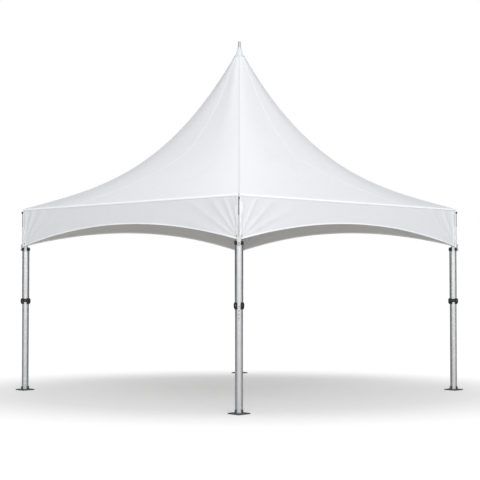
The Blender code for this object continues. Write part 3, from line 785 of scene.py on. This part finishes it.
def fabric(name, clean, soiled, shine, weave_depth, seam=0.0, belly=0.0):
    """Coated cloth: a square weave shows faintly through the coat, with clouds, faint dirt and creases.

    A seam is a strip of that width, with a row of stitches just inside each edge. A belly rounds each
    of the roof's faces: with a the larger and b the smaller of |x| and |y|, the surface seems to fall
    by belly * b * (b / a) ** 3. Such cloth is also painted lighter towards the eave: painted light.
    """
    finish = Finish(name, IOR=1.45, Specular_IOR_Level=0.35)
    first, second = (finish.part(finish.cloth, axis) for axis in (0, 1))
    threads = [(part * (2 * math.pi / thread_pitch)).worked("SINE") for part in (first, second)]
    weave = threads[0] * threads[1] * 0.5 + 0.5
    clouds = finish.noise(1.3, 4)
    streaks = finish.noise(1.0, 6, 0.62, finish.stretched(finish.place, 3, 3, 1.1))
    dirt = finish.step(streaks, 0.52, 0.8)
    tone = finish.blend(dirt * 0.5 + clouds * 0.25, clean, soiled)
    height = weave * 0.25 + finish.noise(7.0, 5, 0.6) * 0.75
    if seam:
        from_row = abs(abs(first - seam / 2) - (seam / 2 - stitch_inset))
        thread = finish.step((second / stitch_pitch).worked("FRACT"), 0.62, 0.72, 1.0, 0.0)
        stitch = (1 - finish.step(from_row, 0.0004, 0.0011)) * thread
        tone = finish.blend(stitch * 0.35, tone, stitch_grey)
        height = height + stitch * 0.5
    normal = finish.bump(height, weave_depth, 0.5)
    if belly:
        sides = [abs(finish.part(finish.place, axis)) for axis in (0, 1)]
        smaller = sides[0].worked("MINIMUM", sides[1])
        lean = smaller / sides[0].worked("MAXIMUM", sides[1])
        normal = finish.bump(smaller * lean * lean * lean * -belly, 1.0, Normal=normal)
        # painted light: the colour is blended towards a lighter white lower down, towards the eave
        tone = finish.blend(finish.step(finish.part(finish.place, 2), 2.7, 3.5, 0.22, 0), tone, eave_painted_light)
    roughness = clouds * 0.1 + dirt * 0.12 + (shine - 0.08)
    return finish.feed(Base_Color=tone, Roughness=roughness, Normal=normal)


hip_width, gore_width, roof_belly = 0.036, 0.018, 0.032
# Painted shade: the roof's white vinyl, and the hip strips' that matches it, is a little darker than the
# valances' white vinyl, to offset the light the roof gets from overhead.
roof_vinyl = fabric("white_roof_vinyl", (0.674, 0.688, 0.714), (0.62, 0.632, 0.656), 0.46, 0.0005,
                    belly=roof_belly)
seam_vinyl = fabric("white_vinyl_seam", (0.676, 0.689, 0.714), (0.624, 0.636, 0.659), 0.44, 0.0004,
                    seam=hip_width, belly=roof_belly)
gore_vinyl = fabric("white_vinyl_gore", (0.735, 0.746, 0.764), (0.685, 0.696, 0.714), 0.44, 0.0004,
                    belly=roof_belly)
# Painted highlight: the eave strip and the arch binding are whiter than the panels, partly for the doubled
# cloth and partly as a painted highlight along their rounded edges.
strip_vinyl_painted_highlight = fabric("white_vinyl_strip_painted_highlight", (0.83, 0.838, 0.852), (0.78, 0.788, 0.802), 0.42, 0.0003)
# Painted shade: the welt's grey stands for the shade along each hip's crest.
welt_painted_shade = fabric("grey_vinyl_welt_painted_shade", (0.5, 0.506, 0.53), (0.45, 0.456, 0.48), 0.5, 0.0002)
# Painted light: the lining is a lighter warm grey than the real lining, standing in for light that comes
# through the cloth.
lining = fabric("grey_lining", (0.64, 0.632, 0.612), (0.58, 0.572, 0.552), 0.62, 0.0004)

squareness, crown_fade = 0.18, 0.05
pleat_rise, soft_rise, pull_rise = 0.0016, 0.0065, 0.0045


def roof_section(share):
    """Power of the sine and cosine that draw the roof's section: round at the mast, square at the eave."""
    crown = np.exp(-(share - ring_share) / crown_fade)
    power = 1 + squareness * (1 - share) + (1 - squareness * (1 - ring_share)) * crown * (1 - share)
    return 2 / power


def roof_folds(share, angle):
    """Rise of the cloth over its smooth shape, as waves that fade with distance.

    Pleats run out from the mast, with soft ones under them, and short ones pull in from each hip near
    the eave. All die out at the hips, the ring and the eave.
    """
    reach = hip_reach * share
    near = np.clip((reach - ring_radius) / 0.12, 0, 1)
    end = np.clip((1 - share) / 0.03, 0, 1)
    pleats = pleat_rise * np.sin(22 * angle + 1.7 * np.sin(5 * angle)) * np.exp(-reach / 0.42)
    soft = soft_rise * np.sin(9 * angle + 0.8 + 1.1 * np.sin(3 * angle))
    soft = soft * np.exp(-((reach - 0.55) / 0.55) ** 2)
    side = reach * np.minimum(np.abs(np.sin(angle)), np.abs(np.cos(angle))) ** roof_section(share)
    pulls = pull_rise * np.sin(2 * math.pi * side / 0.19 + 0.6 * np.sin(7 * angle)) * np.exp(-side / 0.3)
    pulls = pulls * np.exp(-((1 - share) / 0.16) ** 2)
    from_hip = np.clip(np.abs(np.sin(2 * angle)) * 1.2, 0, 1)
    return near * end * (pleats + soft + pulls) * np.sqrt(from_hip)


def roof_points(share, angle, lift=0.0):
    """Points of the roof with its folds: a superellipse whose size is the share of the hip's reach."""
    bend = roof_section(share)
    ahead = np.sign(np.cos(angle)) * np.abs(np.cos(angle)) ** bend
    aside = np.sign(np.sin(angle)) * np.abs(np.sin(angle)) ** bend
    flat = (ahead[..., None] * corner_way + aside[..., None] * across_way) * (hip_reach * share)[..., None]
    return flat + (roof_height(share) + roof_folds(share, angle) + lift)[..., None] * up


fold_radius, hem_low, strip_sink = 0.028, 2.6625, 0.0004
roof_slope = math.atan(eave_rise / half_side)
fold_half = half_side - fold_radius * (1 - math.sin(roof_slope))
fold_share = fold_half / half_side
fold_centre_z = float(roof_height(fold_share)) - fold_radius * math.cos(roof_slope)
roof_turn = full_turn(256)
square = roof_points(np.ones((1, 1)), roof_turn) / half_side


def rail_bend(turn, radius=fold_radius):
    """Reach and height of the cloth's bend over the rail: an arc, by its angle from straight up."""
    reach = half_side - fold_radius + radius * np.sin(turn)
    return np.array([reach, fold_centre_z + radius * np.cos(turn)])


def eave_rows(sizes, levels):
    """Rows of points round the square eave, each at its own reach and height."""
    rows = square * sizes[:, None, None]
    rows[..., 2] = levels[:, None]
    return rows


shares = ring_share + (fold_share - ring_share) * np.linspace(0, 1, 104) ** 1.45
bend = rail_bend(np.linspace(roof_slope, math.pi / 2, 9)[1:])
hem = [[half_side, half_side], [(fold_centre_z + hem_low) / 2, hem_low]]
roof_grid = np.vstack([roof_points(shares[:, None], roof_turn), eave_rows(*np.hstack([bend, hem]))])
cloth_edge, cloth_thick = 60, 0.0012


def sewn(name, shapes, finishes, nodes=()):
    """A piece of cloth. One that takes a node's place is thickened inwards, its second finish inside."""
    made = fitted(name, mesh_of(name, shapes, finishes, cloth_edge), nodes)
    if nodes:
        change = made.modifiers.new("thickness", "SOLIDIFY")
        change.thickness, change.offset = cloth_thick, -1
        change.use_even_offset = True
        change.material_offset = 1
    return made


roof = sewn("roof", [skin(roof_grid, ends=False, flip=True)], [roof_vinyl, lining], ["canopy_top"])


def ribbon(centres, heights):
    """A welded strip: a grid of surface points raised by a height for each column, closed underneath."""
    normal = unit(np.cross(np.gradient(centres, axis=0), np.gradient(centres, axis=1)))
    normal = normal * np.sign(normal[..., 2:])
    over = centres + normal * np.asarray(heights)[None, :, None]
    under = centres[:, ::-1] - normal[:, ::-1] * strip_sink
    return skin(np.concatenate([over, under], 1))


boot_low = 0.074
strip_ends = boot_low / hip_reach, fold_share - 0.0005
strip_offsets = np.array([-0.5, -0.47, -0.25, 0, 0.25, 0.47, 0.5])
strip_heights = [0.0002, 0.001, 0.0011, 0.0012, 0.0011, 0.001, 0.0002]
hip_share = np.linspace(*strip_ends, 90)[:, None]
hip_offsets = strip_offsets * hip_width
from_hip = np.clip(np.abs(hip_offsets) / (hip_reach * hip_share), 0, 1)
hip_lean = np.sign(hip_offsets) * np.arcsin(from_hip ** (1 / roof_section(hip_share)))
hips = [ribbon(roof_points(hip_share, turn + hip_lean), strip_heights) for turn in quarters]
welt_radius, welt_lift = 0.0022, 0.002


def welt(turn):
    """The welt on a hip, grey as painted shade along the crest: a small circle carried along the roof's
    crest.
    """
    spine = roof_points(hip_share[:, 0], turn, welt_lift)
    out = spine[-1] - spine[0]
    beside = np.cross(up, out) / np.hypot(out[0], out[1])
    above = np.cross(unit(np.gradient(spine, axis=0)), beside)
    return skin(spine[:, None] + welt_radius * circle(full_turn(8), beside, above[:, None]))


hip_welds = sewn("hip_welds", [*hips, *[(welt(turn), 1) for turn in quarters]], [seam_vinyl, welt_painted_shade])

# A gore seam leaves the middle of each face by the mast, keeps near it for a while, and then runs out
# to about a metre beside it at the eave, to the left on one face and to the right on the next.
gore_near, gore_far, gore_bend = 0.045, 1.03, 0.4
gore_share = np.linspace(*strip_ends, 120)[:, None]
beyond = np.clip((gore_share - gore_bend) / (1 - gore_bend), 0, 1)
gore_reach = (gore_near * (gore_share / gore_bend).clip(0, 1) ** 2
              + gore_far * beyond ** 0.75 * (1 - np.exp(-beyond / 0.15)))
gores = []
for turn, hand in zip(quarters, (-1, 1, -1, 1)):
    on_face = 0.5 + hand * (gore_reach + strip_offsets * gore_width) / (2 * half_side * gore_share)
    lean = np.arctan((on_face / (1 - on_face)) ** (1 / roof_section(gore_share)))
    gores.append(ribbon(roof_points(gore_share, turn + lean), strip_heights))
gore_welds = sewn("gore_welds", gores, [gore_vinyl])

# The eave strip over the rail: doubled cloth, whiter than the roof as a painted highlight along the fold.
edge_turn = np.linspace(0.52, 1.4, 9)
edge_over = rail_bend(edge_turn, fold_radius + 0.0013)
edge_under = rail_bend(edge_turn[::-1], fold_radius - strip_sink)
edge_grid = eave_rows(*np.hstack([edge_over, edge_under]))
eave_strip = sewn("eave_strip", [skin(edge_grid, ring=True)], [strip_vinyl_painted_highlight])


# Peak boot: a small white sleeve, welded into a cone, that covers the roof's top edge and is drawn tight
# on the mast's top by a band.
# Painted shade: the boot's white vinyl is darker than the roof's, to offset the light its steep sides get
# from in front.
boot_vinyl_painted_shade = fabric("white_boot_vinyl", (0.628, 0.641, 0.664), (0.578, 0.59, 0.612), 0.46, 0.0004)
hem_z = float(roof_height(boot_low / hip_reach))
boot_profile = np.array([(boot_low + 0.0042, hem_z - 0.001), (boot_low - 0.004, hem_z + 0.009),
                         (0.0605, 5.01), (0.0485, ring_z + 0.005), (0.043, 5.055), (0.0385, 5.068),
                         (0.0345, 5.082), (0.0312, 5.096), (0.0285, 5.11), (0.027, 5.12), (0.0262, 5.128)])
boot_share, known = np.linspace(0, 1, 41), np.linspace(0, 1, len(boot_profile))
boot_radius, boot_z = (np.interp(boot_share, known, column) for column in boot_profile.T)
pucker = 0.01 * np.sin(math.pi * boot_share) + 0.012 * boot_share ** 2
boot_turn = full_turn(96)
boot_wave = np.sin(11 * boot_turn + 0.7 * np.sin(3 * boot_turn))
boot_ring = boot_radius[:, None] * (1 + pucker[:, None] * boot_wave)
boot_grid = boot_ring[..., None] * circle(boot_turn, (1, 0, 0), (0, 1, 0)) + boot_z[:, None, None] * up
boot = sewn("boot", [skin(boot_grid, ends=False)], [boot_vinyl_painted_shade, lining], ["peak_boot"])
hem_profile = [(0.0046, -0.0012), (0.0052, 0), (0.0012, 0.0062), (0.0004, 0.006), (0.003, 0)]
boot_hem = lathe(np.array(hem_profile) + (boot_low, hem_z), segments=96, ring=True)
neck_band = lathe([(0.0276, 5.112), (0.0292, 5.113), (0.0292, 5.12), (0.0282, 5.121), (0.0264, 5.121),
                   (0.0264, 5.112)], segments=96, ring=True)
boot_trim = fitted("boot_trim", mesh_of("trim", [boot_hem, neck_band], [boot_vinyl_painted_shade]))


# Valances: a flat panel on each side hangs from under the roof's hem, cut to a low arch. A binding runs
# along the arch, the ends have doubled hems, and folds fan out of the tips where they are pulled down.
# Two black screws hold the tips at each corner, and a black eyelet sits in the eave above them.
hem_width = 0.055
white_vinyl = fabric("white_vinyl", (0.706, 0.72, 0.745), (0.648, 0.662, 0.684), 0.46, 0.0005)
hem_vinyl = fabric("white_vinyl_hem", (0.775, 0.784, 0.8), (0.72, 0.73, 0.746), 0.44, 0.0004,
                   seam=hem_width)

tip_z, arch_rise, corner_slot, deepest = 2.13, 0.262, 0.009, -0.004
panel_end, panel_top, panel_face = half_side - corner_slot, 2.676, half_side - 0.0014

# The creases at a tip: each one's direction in degrees, its share of the depth and its width.
fans = ((15, 0.8, 0.05), (27, 1.0, 0.055), (43, 1.1, 0.062), (61, 1.1, 0.058), (79, 0.9, 0.05))


def arch(x):
    """Height of the panel's lower edge: a parabola that is lowest at the tips."""
    return tip_z + arch_rise * (1 - (x / half_side) ** 2)


def panel_folds(x, z, side):
    """How far the hanging panel stands out.

    Creases fan from each tip and die away from it, each a bell curve in the angle seen from the tip.
    Slow waves grow towards the free edge. The creases lean a little differently on each side, and are
    deeper and longer at the two side corners.
    """
    total = 0 * x
    for hand in (-1, 1):
        dx, dz = panel_end + 0.02 - hand * x, z - tip_z + 0.01
        reach, slope = np.hypot(dx, dz), np.arctan2(dz, dx)
        at_side = hand == (1, -1)[side % 2]
        deep, long = (0.015, 0.9) if at_side else (0.0105, 0.75)
        strength = deep * (1 - np.exp(-(reach / 0.25) ** 2)) * np.exp(-reach / long)
        for number, (degrees, size, width) in enumerate(fans):
            lean = 0.058 * math.sin(0.75 * number + 0.3) * math.cos(math.pi * side)
            middle = math.radians(degrees) + lean
            total = total + strength * size * np.exp(-((slope - middle) / width) ** 2)
    drop = np.clip((panel_top - z) / 0.3, 0, 1.4)
    waves = np.sin(2.9 * x + 0.9 * side) + 0.6 * np.sin(6.1 * x + 1.6 * side + 2.0 * drop)
    return total + 0.0022 * drop * waves * np.clip((panel_end - np.abs(x)) / 0.4, 0, 1)


def panel_points(x, z, side, lift=0.0):
    """Points of a hanging panel, turned to its side by quarter turns."""
    folds = np.maximum(panel_folds(x, z, side), deepest) * np.clip((panel_top - z) / 0.05, 0, 1)
    out = panel_face + folds + lift
    cos, sin = math.cos(quarters[side]), math.sin(quarters[side])
    return np.stack([x * cos - out * sin, x * sin + out * cos, z], -1)


spread = np.linspace(-math.pi / 2, math.pi / 2, 241)
panel_x = panel_end * (0.55 * np.sin(spread) + 0.45 * spread / (math.pi / 2))
panel_z = panel_top + (arch(panel_x) - panel_top) * np.linspace(0, 1, 33)[:, None]
binding_x = panel_x[:, None]
binding_lift = np.array([0.0006, 0.0034, 0.0044, 0.003, -0.0014, -0.0034, -0.0028, -0.0018])
binding_z = arch(binding_x) + np.array([0.017, 0.008, 0.003, -0.0016, -0.0018, 0.003, 0.01, 0.017])
band_in = np.array([0.0, 0.02, 0.5, 0.98, 1.0, 0.98, 0.5, 0.02]) * hem_width
band_lift = np.array([-0.0006, 0.0011, 0.0014, 0.0011, -0.0006, -0.0024, -0.0026, -0.0024])
band_top = panel_top - 0.016
for side, name in enumerate(side_names):
    panel_skin = skin(panel_points(panel_x, panel_z, side), loop=False)
    panel = sewn(f"panel_{name}", [panel_skin], [white_vinyl, lining], [f"valance_{name}"])
    # The binding along the arch is whiter than the panel: doubled cloth with a painted highlight on its
    # rolled edge.
    trims = [(skin(panel_points(binding_x, binding_z, side, binding_lift)), 1)]
    for hand in (-1, 1):
        band_x = hand * (panel_end + 0.0004 - band_in)
        band_z = band_top + (arch(band_x) + 0.001 - band_top) * np.linspace(0, 1, 40)[:, None]
        trims.append(skin(panel_points(band_x, band_z, side, band_lift)))
    hems = sewn(f"panel_hems_{name}", trims, [hem_vinyl, strip_vinyl_painted_highlight])

tip_inset, tip_screw_z, eyelet_turn = 0.028, 2.176, 0.9
tip_profile = [(0.0075, -0.006), (0.0075, 0.001), (0.0062, 0.0032), (0.003, 0.0044), (pole, 0.0047)]
tip_screws = []
for hand, way in ((-1, (1, 0, 0)), (1, (0, 1, 0))):
    tip_place = corner_way * (hip_reach - tip_inset) + across_way * hand * tip_inset + up * tip_screw_z
    tip_screws.append(lathe(tip_profile, tip_place, way, 24))
eyelet_out, eyelet_z = rail_bend(eyelet_turn)
eyelet = lathe([(0.0075, -0.004), (0.0075, 0.0012), (0.006, 0.0026), (pole, 0.003)],
               (eyelet_out, eyelet_out, eyelet_z), corner_way * 0.75 + up * 0.66, 24)
four_times("tip_screws", mesh_of("screws", [*tip_screws, eyelet], [black]))

low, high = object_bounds()
